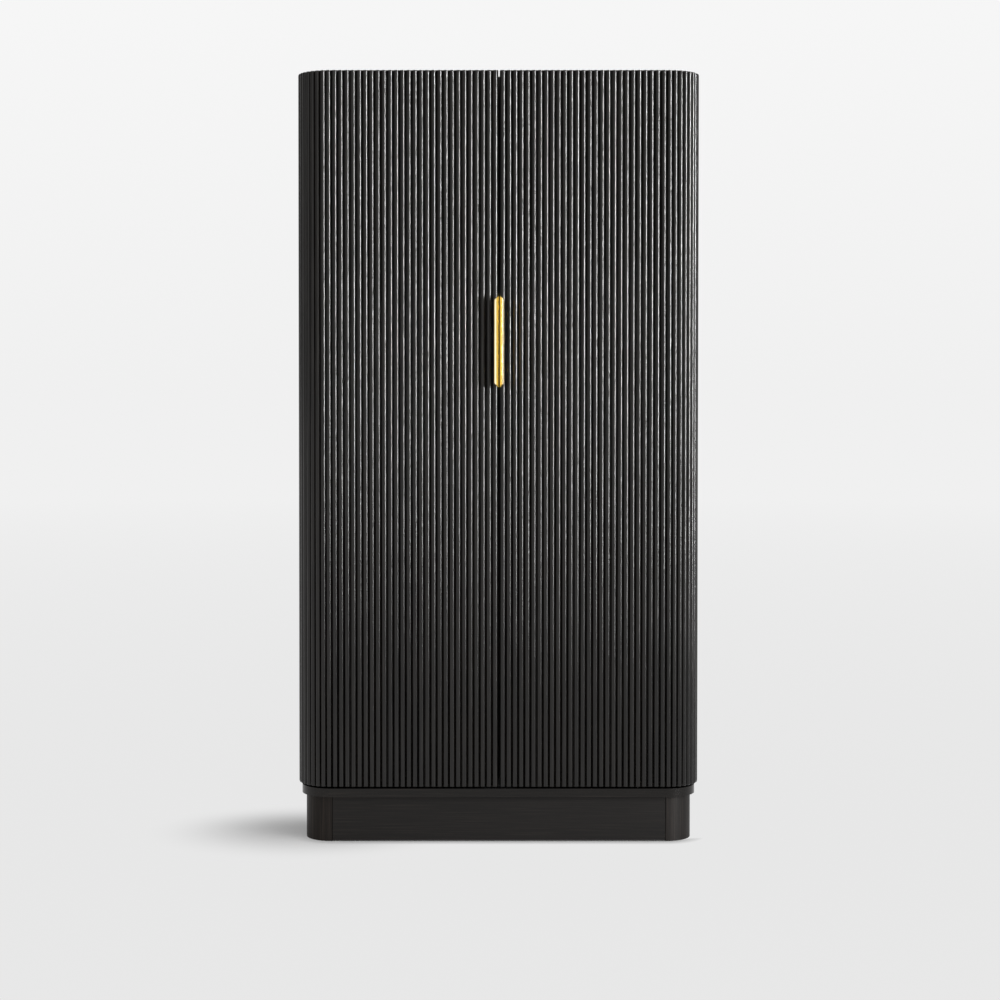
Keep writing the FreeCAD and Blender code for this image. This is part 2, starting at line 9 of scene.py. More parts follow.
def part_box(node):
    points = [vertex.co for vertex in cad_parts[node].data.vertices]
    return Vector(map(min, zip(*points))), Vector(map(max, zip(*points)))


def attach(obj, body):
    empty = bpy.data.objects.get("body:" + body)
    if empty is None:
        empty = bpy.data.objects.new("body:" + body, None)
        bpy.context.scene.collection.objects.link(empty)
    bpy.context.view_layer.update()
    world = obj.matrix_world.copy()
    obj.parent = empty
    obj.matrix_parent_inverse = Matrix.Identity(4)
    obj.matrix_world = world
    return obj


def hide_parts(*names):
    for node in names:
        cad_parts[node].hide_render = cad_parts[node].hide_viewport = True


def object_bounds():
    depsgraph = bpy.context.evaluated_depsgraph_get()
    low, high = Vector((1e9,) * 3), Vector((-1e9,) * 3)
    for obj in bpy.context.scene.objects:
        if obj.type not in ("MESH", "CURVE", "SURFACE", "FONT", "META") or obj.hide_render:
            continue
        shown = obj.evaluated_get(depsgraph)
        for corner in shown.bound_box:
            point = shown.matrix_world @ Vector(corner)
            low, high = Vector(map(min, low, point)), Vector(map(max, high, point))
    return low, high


# Bar armoire: a tall drinks cabinet in black-stained oak. Two doors wrap round the front corners,
# doors and sides are clad in half-round reeds, and a pair of brass pulls marks the meeting edges.
# Lengths are in metres, in the frame of the solids: +X right, -Y front, +Z up.

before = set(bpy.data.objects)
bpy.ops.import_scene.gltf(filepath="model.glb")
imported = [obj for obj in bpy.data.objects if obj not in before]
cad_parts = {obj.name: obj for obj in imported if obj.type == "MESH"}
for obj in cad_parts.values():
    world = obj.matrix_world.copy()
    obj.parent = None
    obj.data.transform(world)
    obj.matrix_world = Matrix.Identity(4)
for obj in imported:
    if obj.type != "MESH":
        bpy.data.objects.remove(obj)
cad_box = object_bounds()

MM = 0.001

# Sizes of the solids that the finer pieces follow
REED_PITCH = 14.2 * MM
REED_HEIGHT = 7.0 * MM
GROOVE_DEPTH = 5.2 * MM
GROOVE_WIDTH = 1.6 * MM
QUIRK_FLOOR = 0.5 * MM
FRONT_REEDS = 27
CORNER_REEDS = 9
SIDE_REEDS = 30
BOARD_REEDS = 6
BOARD_JOINT = 0.4 * MM
DOOR_EDGE = 1.75 * MM
DOOR_CORE = 18.0 * MM
HEIGHT = 1778.0 * MM
PLINTH_HEIGHT = 104.0 * MM
PLINTH_INSET = 17.0 * MM
BASE_TOP = 124.0 * MM
DOOR_BOTTOM = 129.0 * MM
TOP_SURFACE = 1766.5 * MM
TOP_UNDERSIDE = 1746.5 * MM
CASE_INSET = 27.0 * MM
HINGES = 4
HINGE_LOWEST_MM = 249.0
HINGE_SPAN_MM = 1409.0
HINGE_HEIGHTS = [(HINGE_LOWEST_MM + i * HINGE_SPAN_MM / (HINGES - 1)) * MM for i in range(HINGES)]
HINGE_HALF = 38.0 * MM
HINGE_POCKET = 41.5 * MM
BEAD_RADIUS = 6.5 * MM
HINGE_SEAM = 1.5 * MM
LEAF_WIDTH = 16.5 * MM
LEAF_THICKNESS = 2.5 * MM
CASE_LEAF_WIDTH = 10.0 * MM
LEAF_SCREW_STEP = 26.0 * MM
RACK_HEIGHTS = (330.0 * MM, 1010.0 * MM)
RACK_END = 10.0 * MM
RACK_END_ROUND = 45.0 * MM
STRIKE_HEIGHT = 13.0 * MM

# Sizes that only the visible pieces have
REED_END_EASE = 1.4 * MM
REED_LEAN = 0.05
TONE_SPREAD = 0.25
LEDGE_EASE = 2.5 * MM
TOP_EASE = 1.0 * MM
POST_EASE = 0.5 * MM
POST_QUIRK = 1.6 * MM
POST_QUIRK_DEPTH = 4.0 * MM
BEAD_EASE = 0.6 * MM
BOARD_EASE = 0.8 * MM
PULL_EASE = 0.25 * MM
METAL_EASE = 0.4 * MM
CATCH_EASE = 1.2 * MM
SCREW_RADIUS = 3.2 * MM
SCREW_RISE = 0.4 * MM
LEAF_SCREWS = 3
BACK_SCREW_RADIUS = 3.5 * MM
BACK_SCREW_RISE = 0.03 * MM
BACK_SCREW_EDGE = 14.0 * MM
BACK_SCREWS_UP = 8
BACK_SCREWS_ACROSS = 5

# Places that follow from these sizes
CORNER_RADIUS = CORNER_REEDS * REED_PITCH * 2 / math.pi
CORNER_X = DOOR_EDGE + FRONT_REEDS * REED_PITCH
HALF_WIDTH = CORNER_X + CORNER_RADIUS
BACK = cad_box[1].y
FRONT = BACK - CORNER_RADIUS - SIDE_REEDS * REED_PITCH
CORNER_Y = FRONT + CORNER_RADIUS
CORE_FACE = FRONT + REED_HEIGHT
CORE_SIDE = HALF_WIDTH - REED_HEIGHT
HINGE_Y = CORNER_Y + REED_PITCH / 2
SIDE_FRONT = HINGE_Y - BEAD_RADIUS
DOOR_END = SIDE_FRONT - HINGE_SEAM
REED_FOOT = (REED_PITCH - GROOVE_WIDTH) / 2
PLINTH_ROUND = CORNER_RADIUS - PLINTH_INSET
PLINTH_FRONT = FRONT + PLINTH_INSET
PLINTH_MIDDLE = (0, (FRONT + BACK) / 2, 0)
PLINTH_STRAIGHT = (CORNER_X, (BACK - FRONT) / 2 - CORNER_RADIUS, 0)

# Points nearer than the weld are one point, and edges flatter than the angle are smooth
WELD = 2e-6
SMOOTH_BELOW = math.radians(32)
SIDES = (("right", 1), ("left", -1))
ACROSS, DEEP, UPRIGHT = range(3)
SEEDS = 1000


def tint(code):
    """Linear colour of an sRGB hex code."""
    parts = [int(code[i:i + 2], 16) / 255 for i in (1, 3, 5)]
    return (*[c / 12.92 if c <= 0.04045 else ((c + 0.055) / 1.055) ** 2.4 for c in parts], 1)


def add(tree, kind, wires=None, **settings):
    """New node with its settings. Each wire is a value, a socket, or a node whose first output is meant.
    By number, a map range takes its old range as 1 and 2 and its new one as 3 and 4, a colour mix its colours
    as 6 and 7."""
    made = tree.nodes.new(kind)
    for name, value in settings.items():
        setattr(made, name, value)
    for socket, value in (wires or {}).items():
        if isinstance(value, bpy.types.Node):
            value = value.outputs[0]
        if isinstance(value, bpy.types.NodeSocket):
            tree.links.new(value, made.inputs[socket])
        else:
            made.inputs[socket].default_value = value
    return made


def new_material(name):
    """Empty node material and its tree."""
    material = bpy.data.materials.new(name)
    material.use_nodes = True
    material.node_tree.nodes.clear()
    return material, material.node_tree


def streaks(along, width, length):
    """Scale of a pattern whose streaks have a width and a length in millimetres and lie along one axis."""
    scale = [1 / (width * MM)] * 3
    scale[along] = 1 / (length * MM)
    return scale


def black_oak(name, along, shine, sheen=0.5, dark="#0a0909", light="#171411", grain="#3a3733"):
    """Oak, planed, stained black and sealed with a satin lacquer. The stain leaves hardly any colour,
    so the eye gets fine grey grain lines and the shine: clear lines of light that the open pores break into
    short dashes."""
    material, tree = new_material(name)
    # Pores are 0.3 mm wide and drawn 1.3 mm wide to show, grain lines 0.5 mm wide and drawn 1.7 mm wide;
    # the growth figure is 9 mm wide and 300 mm long
    place = add(tree, "ShaderNodeTexCoord").outputs["Object"]
    pore_place = add(tree, "ShaderNodeMapping", {"Vector": place, "Scale": streaks(along, 1.3, 26)})
    pores = add(tree, "ShaderNodeTexNoise", {"Vector": pore_place, "Scale": 1, "Detail": 3, "Roughness": 0.6})
    open_pores = add(tree, "ShaderNodeMapRange", {"Value": pores, 1: 0.44, 2: 0.62, 3: 1, 4: 0})
    figure_place = add(tree, "ShaderNodeMapping", {"Vector": place, "Scale": streaks(along, 9, 300)})
    figure = add(tree, "ShaderNodeTexNoise",
                 {"Vector": figure_place, "Scale": 1, "Detail": 4, "Roughness": 0.55, "Distortion": 0.4})
    tone = add(tree, "ShaderNodeAttribute", attribute_name="board_tone")
    depth = add(tree, "ShaderNodeMath", {0: figure, 1: tone.outputs["Fac"]}, operation="ADD")
    stain = add(tree, "ShaderNodeMix", {"Factor": depth, 6: tint(dark), 7: tint(light)}, data_type="RGBA")
    line_place = add(tree, "ShaderNodeMapping", {"Vector": place, "Scale": streaks(along, 1.7, 150)})
    lines = add(tree, "ShaderNodeTexNoise", {"Vector": line_place, "Scale": 1, "Detail": 2, "Roughness": 0.5})
    greyed = add(tree, "ShaderNodeMapRange", {"Value": lines, 1: 0.5, 2: 0.72, 3: 0, 4: 0.8})
    stain = add(tree, "ShaderNodeMix", {"Factor": greyed, 6: stain.outputs[2], 7: tint(grain)}, data_type="RGBA")
    worn = add(tree, "ShaderNodeMath", {0: depth, 1: 0.06, 2: shine}, operation="MULTIPLY_ADD")
    gloss = add(tree, "ShaderNodeMath", {0: open_pores, 1: 0.04, 2: worn}, operation="MULTIPLY_ADD")
    swell = add(tree, "ShaderNodeMath", {0: figure, 1: 0.3}, operation="MULTIPLY")
    relief = add(tree, "ShaderNodeMath", {0: swell, 1: open_pores}, operation="SUBTRACT")
    bump = add(tree, "ShaderNodeBump", {"Height": relief, "Strength": 0.15, "Distance": 0.1 * MM})
    surface = add(tree, "ShaderNodeBsdfPrincipled", {
        "Base Color": stain.outputs[2], "Roughness": gloss, "Normal": bump, "IOR": 1.42,
        "Specular IOR Level": sheen,
    })
    add(tree, "ShaderNodeOutputMaterial", {"Surface": surface})
    return material


def polished_brass(name, painted_light=False):
    """Brass, drawn, milled and polished along its length: bright gold with faint lines of polish. On the pulls
    the outer bevels carry a pale painted highlight, and the outer edges and the left side of the joint carry painted
    shade."""
    material, tree = new_material(name)
    # Polish lines are finer than a pixel and drawn 0.8 mm wide to show; handling clouds are 30 mm wide
    place = add(tree, "ShaderNodeTexCoord").outputs["Object"]
    lines_place = add(tree, "ShaderNodeMapping", {"Vector": place, "Scale": streaks(UPRIGHT, 0.8, 60)})
    lines = add(tree, "ShaderNodeTexNoise", {"Vector": lines_place, "Scale": 1, "Detail": 2})
    clouds = add(tree, "ShaderNodeTexNoise", {"Vector": place, "Scale": 1 / (30 * MM), "Detail": 3})
    colour = add(tree, "ShaderNodeMix", {"Factor": clouds, 6: tint("#f2c653"), 7: tint("#f8d468")}, data_type="RGBA")
    if painted_light:
        # Painted light on the pulls: the bevels, which run from 6.6 to 11.6 mm beside the joint, get a pale painted
        # highlight; the outer edges and a line 3 mm wide on the left of the joint get painted shade
        across = add(tree, "ShaderNodeSeparateXYZ", {0: place}).outputs["X"]
        out = add(tree, "ShaderNodeMath", {0: across}, operation="ABSOLUTE")
        # Painted highlight: this mask turns the bevels pale cream
        rubbed = add(tree, "ShaderNodeMapRange", {"Value": out, 1: 6.2 * MM, 2: 7.4 * MM})
        # Painted shade: these masks darken the left side of the joint and the outer edges
        near = add(tree, "ShaderNodeMapRange", {"Value": across, 1: -3.8 * MM, 2: -2.6 * MM})
        left = add(tree, "ShaderNodeMath", {0: across, 1: 0}, operation="LESS_THAN")
        painted_edge_shade = add(tree, "ShaderNodeMapRange", {"Value": out, 1: 10.0 * MM, 2: 11.2 * MM})
        dark = add(tree, "ShaderNodeMath", {0: near, 1: left, 2: painted_edge_shade}, operation="MULTIPLY_ADD")
        # Pale cream of the painted highlight on the bevels
        colour = add(tree, "ShaderNodeMix", {"Factor": rubbed, 6: colour.outputs[2], 7: tint("#efe0b8")},
                     data_type="RGBA")
        # Dark brown of the painted shade at the joint and the outer edges
        colour = add(tree, "ShaderNodeMix", {"Factor": dark, 6: colour.outputs[2], 7: tint("#87661f")},
                     data_type="RGBA")
    gloss = add(tree, "ShaderNodeMapRange", {"Value": lines, 3: 0.18, 4: 0.26})
    bump = add(tree, "ShaderNodeBump", {"Height": lines, "Strength": 0.05, "Distance": 0.05 * MM})
    surface = add(tree, "ShaderNodeBsdfPrincipled", {
        "Base Color": colour.outputs[2], "Metallic": 1, "Roughness": gloss, "Normal": bump,
    })
    add(tree, "ShaderNodeOutputMaterial", {"Surface": surface})
    return material


def zinc_steel():
    """Steel, pressed and zinc plated: pale blue-grey with soft crystalline patches."""
    material, tree = new_material("steel zinc plated")
    # Zinc patches are about 2 mm across
    place = add(tree, "ShaderNodeTexCoord").outputs["Object"]
    patches = add(tree, "ShaderNodeTexVoronoi", {"Vector": place, "Scale": 1 / (2 * MM)})
    colour = add(tree, "ShaderNodeMix",
                 {"Factor": patches, 6: tint("#a9adb0"), 7: tint("#c3c7ca")}, data_type="RGBA")
    gloss = add(tree, "ShaderNodeMapRange", {"Value": patches, 3: 0.3, 4: 0.42})
    surface = add(tree, "ShaderNodeBsdfPrincipled", {
        "Base Color": colour.outputs[2], "Metallic": 1, "Roughness": gloss,
    })
    add(tree, "ShaderNodeOutputMaterial", {"Surface": surface})
    return material


def moulded_plastic():
    """ABS, moulded with a fine spark-eroded grain: soft black that never shines."""
    material, tree = new_material("ABS moulded black")
    # Grain of the mould is about 0.4 mm
    place = add(tree, "ShaderNodeTexCoord").outputs["Object"]
    grain = add(tree, "ShaderNodeTexNoise", {"Vector": place, "Scale": 1 / (0.4 * MM), "Detail": 2})
    gloss = add(tree, "ShaderNodeMapRange", {"Value": grain, 3: 0.5, 4: 0.65})
    bump = add(tree, "ShaderNodeBump", {"Height": grain, "Strength": 0.2, "Distance": 0.05 * MM})
    surface = add(tree, "ShaderNodeBsdfPrincipled", {
        "Base Color": tint("#1c1c1e"), "Roughness": gloss, "Normal": bump,
    })
    add(tree, "ShaderNodeOutputMaterial", {"Surface": surface})
    return material


VENEER_STAIN = {"dark": "#060505", "light": "#2e2822"}
OAK_UPRIGHT = black_oak("oak stained black, grain upright", UPRIGHT, 0.115, grain="#312e2b")
VENEER_UPRIGHT = black_oak("oak veneer stained black, grain upright", UPRIGHT, 0.32, **VENEER_STAIN)
OAK_ACROSS = black_oak("oak veneer stained black, grain across", ACROSS, 0.30, **VENEER_STAIN)
OAK_DEEP = black_oak("oak veneer stained black, grain front to back", DEEP, 0.30, **VENEER_STAIN)
PLINTH_OAK = black_oak("oak stained brown-black and rubbed, grain across", ACROSS, 0.44, sheen=0.3,
                       dark="#090706", light="#1a1512", grain="#2a2521")
LEDGE_OAK = black_oak("oak stained brown-black and lacquered, grain across", ACROSS, 0.18, sheen=0.35,
                      dark="#0b0907", light="#1e1915", grain="#2c2723")
POST_OAK = black_oak("oak stained brown-black and rubbed, grain upright", UPRIGHT, 0.44, sheen=0.25,
                     dark="#050403", light="#261f1a", grain="#3f3630")
BRASS = polished_brass("brass polished along its length")
PULL_BRASS = polished_brass("brass polished along its length, handled", painted_light=True)
STEEL = zinc_steel()
PLASTIC = moulded_plastic()


def finished(work, name):
    """Mesh from working geometry, faces outwards, smooth apart from its sharp edges."""
    bmesh.ops.recalc_face_normals(work, faces=work.faces)
    mesh = bpy.data.meshes.new(name)
    work.to_mesh(mesh)
    work.free()
    mesh.polygons.foreach_set("use_smooth", [True] * len(mesh.polygons))
    mesh.set_sharp_from_angle(angle=SMOOTH_BELOW)
    return mesh


def piece(name, mesh, material, body, slot, *nodes):
    """Finished piece of the object, on its body, in place of the CAD nodes that it refines."""
    mesh.materials.clear()
    mesh.materials.append(material)
    made = bpy.data.objects.new(name, mesh)
    bpy.context.scene.collection.objects.link(made)
    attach(made, body)
    if nodes:
        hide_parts(*nodes)
    return made


def new_tree(name, sockets):
    """Geometry tree with named inputs, and the node that gives them."""
    tree = bpy.data.node_groups.new(name, "GeometryNodeTree")
    tree.interface.new_socket("Geometry", in_out="INPUT", socket_type="NodeSocketGeometry")
    for title, kind in sockets.items():
        tree.interface.new_socket(title, in_out="INPUT", socket_type="NodeSocket" + kind)
    tree.interface.new_socket("Geometry", in_out="OUTPUT", socket_type="NodeSocketGeometry")
    return tree, add(tree, "NodeGroupInput").outputs


def applied(mesh, kind, inputs=None, **settings):
    """Plain mesh that a modifier makes from a mesh. Inputs are those of a geometry tree."""
    holder = bpy.data.objects.new("holder", mesh)
    bpy.context.scene.collection.objects.link(holder)
    modifier = holder.modifiers.new("shape", kind)
    for name, value in settings.items():
        setattr(modifier, name, value)
    for identifier, value in (inputs or {}).items():
        modifier[identifier] = value
    graph = bpy.context.evaluated_depsgraph_get()
    made = bpy.data.meshes.new_from_object(
        holder.evaluated_get(graph), preserve_all_data_layers=True, depsgraph=graph)
    bpy.data.objects.remove(holder)
    return made


def grow(tree, mesh, values):
    """Plain mesh that a geometry tree makes from a starting mesh and named inputs."""
    sockets = [item for item in tree.interface.items_tree if item.in_out == "INPUT"]
    inputs = {item.identifier: values[item.name] for item in sockets if item.name in values}
    return applied(mesh, "NODES", inputs, node_group=tree)


def reeded_board_tree():
    """Board of reeds from one reed's outline: a row of them, swept upright with eased ends, closed at
    the back, and bent round an upright axis where it has a bend radius."""
    tree, given = new_tree("reeded board", {
        "Reeds": "Int", "Pitch": "Float", "Foot": "Float", "Crest": "Float", "Start": "Float", "End": "Float",
        "Bottom": "Float", "Top": "Float", "Ease": "Float", "Depth": "Float", "Bend Radius": "Float",
        "Lean": "Float", "Tone": "Float", "Seed": "Int", "Material": "Material",
    })
    spot = add(tree, "GeometryNodeInputPosition")
    parts = add(tree, "ShaderNodeSeparateXYZ", {0: spot}).outputs
    half_pitch = add(tree, "ShaderNodeMath", {0: given["Pitch"], 1: 0.5}, operation="MULTIPLY")
    first = add(tree, "ShaderNodeCombineXYZ", {"X": half_pitch})
    step = add(tree, "ShaderNodeCombineXYZ", {"X": given["Pitch"]})
    row = add(tree, "GeometryNodeMeshLine",
              {"Count": given["Reeds"], "Start Location": first, "Offset": step}, mode="OFFSET")
    reeds = add(tree, "GeometryNodeInstanceOnPoints", {"Points": row, "Instance": given["Geometry"]})
    joined = add(tree, "GeometryNodeRealizeInstances", {0: reeds})
    chain = add(tree, "GeometryNodeMergeByDistance", {"Geometry": joined, "Distance": WELD})

    # Each reed leans a little its own way, as milled ones do, but keeps its feet
    count = add(tree, "ShaderNodeMath", {0: parts["X"], 1: given["Pitch"]}, operation="DIVIDE")
    index = add(tree, "ShaderNodeMath", {0: count}, operation="FLOOR")
    middle = add(tree, "ShaderNodeMath", {0: index, 1: 0.5}, operation="ADD")
    centre = add(tree, "ShaderNodeMath", {0: middle, 1: given["Pitch"]}, operation="MULTIPLY")
    across = add(tree, "ShaderNodeMath", {0: parts["X"], 1: centre}, operation="SUBTRACT")
    share = add(tree, "ShaderNodeMath", {0: across, 1: given["Foot"]}, operation="DIVIDE")
    square = add(tree, "ShaderNodeMath", {0: share, 1: share}, operation="MULTIPLY")
    fade = add(tree, "ShaderNodeMath", {0: 1, 1: square}, operation="SUBTRACT")
    held = add(tree, "ShaderNodeMath", {0: fade, 1: 0}, operation="MAXIMUM")
    most_left = add(tree, "ShaderNodeMath", {0: given["Lean"], 1: -1}, operation="MULTIPLY")
    lean = add(tree, "FunctionNodeRandomValue",
               {2: most_left, 3: given["Lean"], "ID": index, "Seed": given["Seed"]}, data_type="FLOAT")
    tilt = add(tree, "ShaderNodeMath", {0: lean.outputs[1], 1: across}, operation="MULTIPLY")
    rise = add(tree, "ShaderNodeMath", {0: tilt, 1: held, 2: parts["Y"]}, operation="MULTIPLY_ADD")
    after_start = add(tree, "ShaderNodeMath", {0: parts["X"], 1: given["Start"]}, operation="MAXIMUM")
    within = add(tree, "ShaderNodeMath", {0: after_start, 1: given["End"]}, operation="MINIMUM")
    leaned = add(tree, "ShaderNodeCombineXYZ", {"X": within, "Y": rise})
    shape = add(tree, "GeometryNodeSetPosition", {"Geometry": chain, "Position": leaned})

    # Both ends of the outline turn back to the depth of the board
    back = add(tree, "ShaderNodeMath", {0: given["Depth"], 1: -1}, operation="MULTIPLY")
    neighbours = add(tree, "GeometryNodeInputMeshVertexNeighbors")
    at_end = add(tree, "FunctionNodeCompare", {2: neighbours, 3: 1}, data_type="INT", operation="EQUAL")
    turned = add(tree, "GeometryNodeExtrudeMesh",
                 {"Mesh": shape, "Selection": at_end, "Offset Scale": 0}, mode="VERTICES")
    behind = add(tree, "ShaderNodeCombineXYZ", {"X": parts["X"], "Y": back})
    shape = add(tree, "GeometryNodeSetPosition",
                {"Geometry": turned, "Selection": turned.outputs["Top"], "Position": behind})
    kept = tree.nodes.new("GeometryNodeCaptureAttribute")
    kept.capture_items.new("FLOAT", "Outline")
    tree.links.new(shape.outputs[0], kept.inputs[0])
    tree.links.new(parts["Y"], kept.inputs[1])
    outline = kept.outputs[1]

    # Rings of the sweep: eased foot, body, eased head, over the top to the back, down it and under
    lowered = add(tree, "ShaderNodeMath", {0: outline, 1: given["Ease"]}, operation="SUBTRACT")
    eased = add(tree, "ShaderNodeMath", {0: lowered, 1: back}, operation="MAXIMUM").outputs[0]
    foot = add(tree, "ShaderNodeMath", {0: given["Bottom"], 1: given["Ease"]}, operation="ADD").outputs[0]
    head = add(tree, "ShaderNodeMath", {0: given["Top"], 1: given["Ease"]}, operation="SUBTRACT").outputs[0]
    start_ring = add(tree, "ShaderNodeCombineXYZ", {"X": parts["X"], "Y": eased, "Z": given["Bottom"]})
    shape = add(tree, "GeometryNodeSetPosition", {"Geometry": kept, "Position": start_ring})
    rings = [
        (outline, foot), (outline, head), (eased, given["Top"]), (back.outputs[0], given["Top"]),
        (back.outputs[0], given["Bottom"]), (eased, given["Bottom"]),
    ]
    edge = None
    for y, z in rings:
        wires = {"Mesh": shape, "Offset Scale": 0}
        if edge:
            wires["Selection"] = edge
        swept = add(tree, "GeometryNodeExtrudeMesh", wires, mode="EDGES")
        edge = swept.outputs["Top"]
        ring = add(tree, "ShaderNodeCombineXYZ", {"X": parts["X"], "Y": y, "Z": z})
        shape = add(tree, "GeometryNodeSetPosition", {"Geometry": swept, "Selection": edge, "Position": ring})
    closed = add(tree, "GeometryNodeMergeByDistance", {"Geometry": shape, "Distance": WELD})

    # Flat boards face -Y; a bent one turns from -Y towards +X
    forward = add(tree, "ShaderNodeMath", {0: parts["Y"], 1: -1}, operation="MULTIPLY")
    flat = add(tree, "ShaderNodeCombineXYZ", {"X": parts["X"], "Y": forward, "Z": parts["Z"]})
    angle = add(tree, "ShaderNodeMath", {0: parts["X"], 1: given["Bend Radius"]}, operation="DIVIDE")
    core = add(tree, "ShaderNodeMath", {0: given["Bend Radius"], 1: given["Crest"]}, operation="SUBTRACT")
    reach = add(tree, "ShaderNodeMath", {0: core, 1: parts["Y"]}, operation="ADD")
    sine = add(tree, "ShaderNodeMath", {0: angle}, operation="SINE")
    cosine = add(tree, "ShaderNodeMath", {0: angle}, operation="COSINE")
    out_x = add(tree, "ShaderNodeMath", {0: reach, 1: sine}, operation="MULTIPLY")
    in_y = add(tree, "ShaderNodeMath", {0: reach, 1: cosine}, operation="MULTIPLY")
    out_y = add(tree, "ShaderNodeMath", {0: in_y, 1: -1}, operation="MULTIPLY")
    bent = add(tree, "ShaderNodeCombineXYZ", {"X": out_x, "Y": out_y, "Z": parts["Z"]})
    bends = add(tree, "ShaderNodeMath", {0: given["Bend Radius"], 1: WELD}, operation="GREATER_THAN")
    final = add(tree, "GeometryNodeSwitch", {0: bends, 1: flat, 2: bent}, input_type="VECTOR")
    shape = add(tree, "GeometryNodeSetPosition", {"Geometry": closed, "Position": final})
    toned = add(tree, "GeometryNodeStoreNamedAttribute",
                {"Geometry": shape, "Name": "board_tone", "Value": given["Tone"]}, data_type="FLOAT")
    plain = add(tree, "GeometryNodeRealizeInstances", {0: toned})
    painted = add(tree, "GeometryNodeSetMaterial", {"Geometry": plain, "Material": given["Material"]})
    add(tree, "NodeGroupOutput", {0: painted})
    return tree


def reed_outline():
    """One half-round reed from quirk to quirk, as a line of points."""
    steps = 18
    radius = (REED_FOOT ** 2 + GROOVE_DEPTH ** 2) / (2 * GROOVE_DEPTH)
    spread = math.asin(REED_FOOT / radius)
    turns = [spread * (2 * i / steps - 1) for i in range(steps + 1)]
    curve = [(radius * math.sin(a), REED_HEIGHT - radius * (1 - math.cos(a)), 0) for a in turns]
    points = [(-REED_PITCH / 2, QUIRK_FLOOR, 0), *curve, (REED_PITCH / 2, QUIRK_FLOOR, 0)]
    mesh = bpy.data.meshes.new("reed outline")
    mesh.from_pydata(points, [(i, i + 1) for i in range(len(points) - 1)], [])
    return mesh


REED_TREE = reeded_board_tree()
REED_OUTLINE = reed_outline()
draw = random.Random(11)


def reeded_board(reeds, start, end, depth, bend):
    """One reeded board, with its own tone and its own small unevenness."""
    return grow(REED_TREE, REED_OUTLINE, {
        "Reeds": reeds, "Pitch": REED_PITCH, "Foot": REED_FOOT, "Crest": REED_HEIGHT, "Start": start, "End": end,
        "Bottom": DOOR_BOTTOM, "Top": HEIGHT, "Ease": REED_END_EASE, "Depth": depth, "Bend Radius": bend,
        "Lean": REED_LEAN, "Tone": draw.uniform(-TONE_SPREAD, TONE_SPREAD), "Seed": draw.randrange(SEEDS),
        "Material": OAK_UPRIGHT,
    })


def gather(work, mesh, place, hand):
    """Add a mesh to working geometry at its place, mirrored for the left hand."""
    mesh.transform(Matrix.Diagonal((hand, 1, 1, 1)) @ place)
    work.from_mesh(mesh)
    bpy.data.meshes.remove(mesh)


def reeded_run(first, last, place, hand):
    """Row of boards with fine joints, a few reeds each."""
    work = bmesh.new()
    for reed in range(first, last, BOARD_REEDS):
        stop = min(reed + BOARD_REEDS, last)
        start = BOARD_JOINT / 2 if reed > first else 0
        end = (stop - reed) * REED_PITCH - (BOARD_JOINT / 2 if stop < last else 0)
        board = reeded_board(stop - reed, start, end, depth=0, bend=0)
        gather(work, board, place @ Matrix.Translation((reed * REED_PITCH, 0, 0)), hand)
    return work


def box_into(work, low, high):
    """Add a box between two corners to working geometry."""
    centre = (Vector(low) + Vector(high)) / 2
    size = Vector(high) - Vector(low)
    bmesh.ops.create_cube(work, size=1, matrix=Matrix.LocRotScale(centre, None, size))


def cut(mesh, cutter):
    """Mesh with another mesh's shape taken out of it."""
    tool = bpy.data.objects.new("tool", cutter)
    bpy.context.scene.collection.objects.link(tool)
    made = applied(mesh, "BOOLEAN", object=tool, solver="EXACT")
    bpy.data.objects.remove(tool)
    made.set_sharp_from_angle(angle=SMOOTH_BELOW)
    return made


def door_corner(hand):
    """Reeded corner of a door, milled from one block, with mortises for its hinge leaves."""
    work = bmesh.new()
    end = CORNER_RADIUS * math.acos((CORNER_Y - DOOR_END) / (CORNER_RADIUS - GROOVE_DEPTH))
    board = reeded_board(CORNER_REEDS, 0, end, depth=DOOR_CORE, bend=CORNER_RADIUS)
    gather(work, board, Matrix.Translation((CORNER_X, CORNER_Y, 0)), hand)
    block = finished(work, "door corner")
    tool = bmesh.new()
    for z in HINGE_HEIGHTS:
        near, far = sorted((hand * (CORE_SIDE - LEAF_WIDTH), hand * CORE_SIDE))
        low = (near, DOOR_END - LEAF_THICKNESS, z - HINGE_HALF)
        high = (far, DOOR_END + HINGE_SEAM, z + HINGE_HALF)
        box_into(tool, low, high)
    return cut(block, finished(tool, "mortises"))


for side, hand in SIDES:
    on_front = Matrix.Translation((DOOR_EDGE, CORE_FACE, 0))
    on_side = Matrix.Translation((CORE_SIDE, CORNER_Y, 0)) @ Matrix.Rotation(math.pi / 2, 4, "Z")
    door = side + "_door"
    reeds = finished(reeded_run(0, FRONT_REEDS, on_front, hand), side + " door reeds")
    piece(side + "_door_reeding", reeds, OAK_UPRIGHT, door, "black_oak", side + "_door_reeds")
    corner = piece(
        side + "_corner_reeding", door_corner(hand), OAK_UPRIGHT, door, "black_oak", side + "_door_corner")
    # The hollow side of the corner is veneered like the inside of the door
    corner.data.materials.append(VENEER_UPRIGHT)
    for face in corner.data.polygons:
        out = Vector((face.center.x - hand * CORNER_X, face.center.y - CORNER_Y, 0))
        if out.length < CORNER_RADIUS - DOOR_CORE and out.dot(face.normal) < 0:
            face.material_index = 1
    reeds = finished(reeded_run(1, SIDE_REEDS, on_side, hand), side + " side reeds")
    piece(side + "_side_reeding", reeds, OAK_UPRIGHT, "case", "black_oak", side + "_side_reeds")


def prism(work, outline, low, high):
    """Add an upright prism over a plan outline to working geometry."""
    foot = [work.verts.new((x, y, low)) for x, y in outline]
    head = [work.verts.new((x, y, high)) for x, y in outline]
    work.faces.new(foot)
    work.faces.new(head)
    for i in range(len(outline)):
        j = (i + 1) % len(outline)
        work.faces.new((foot[i], foot[j], head[j], head[i]))


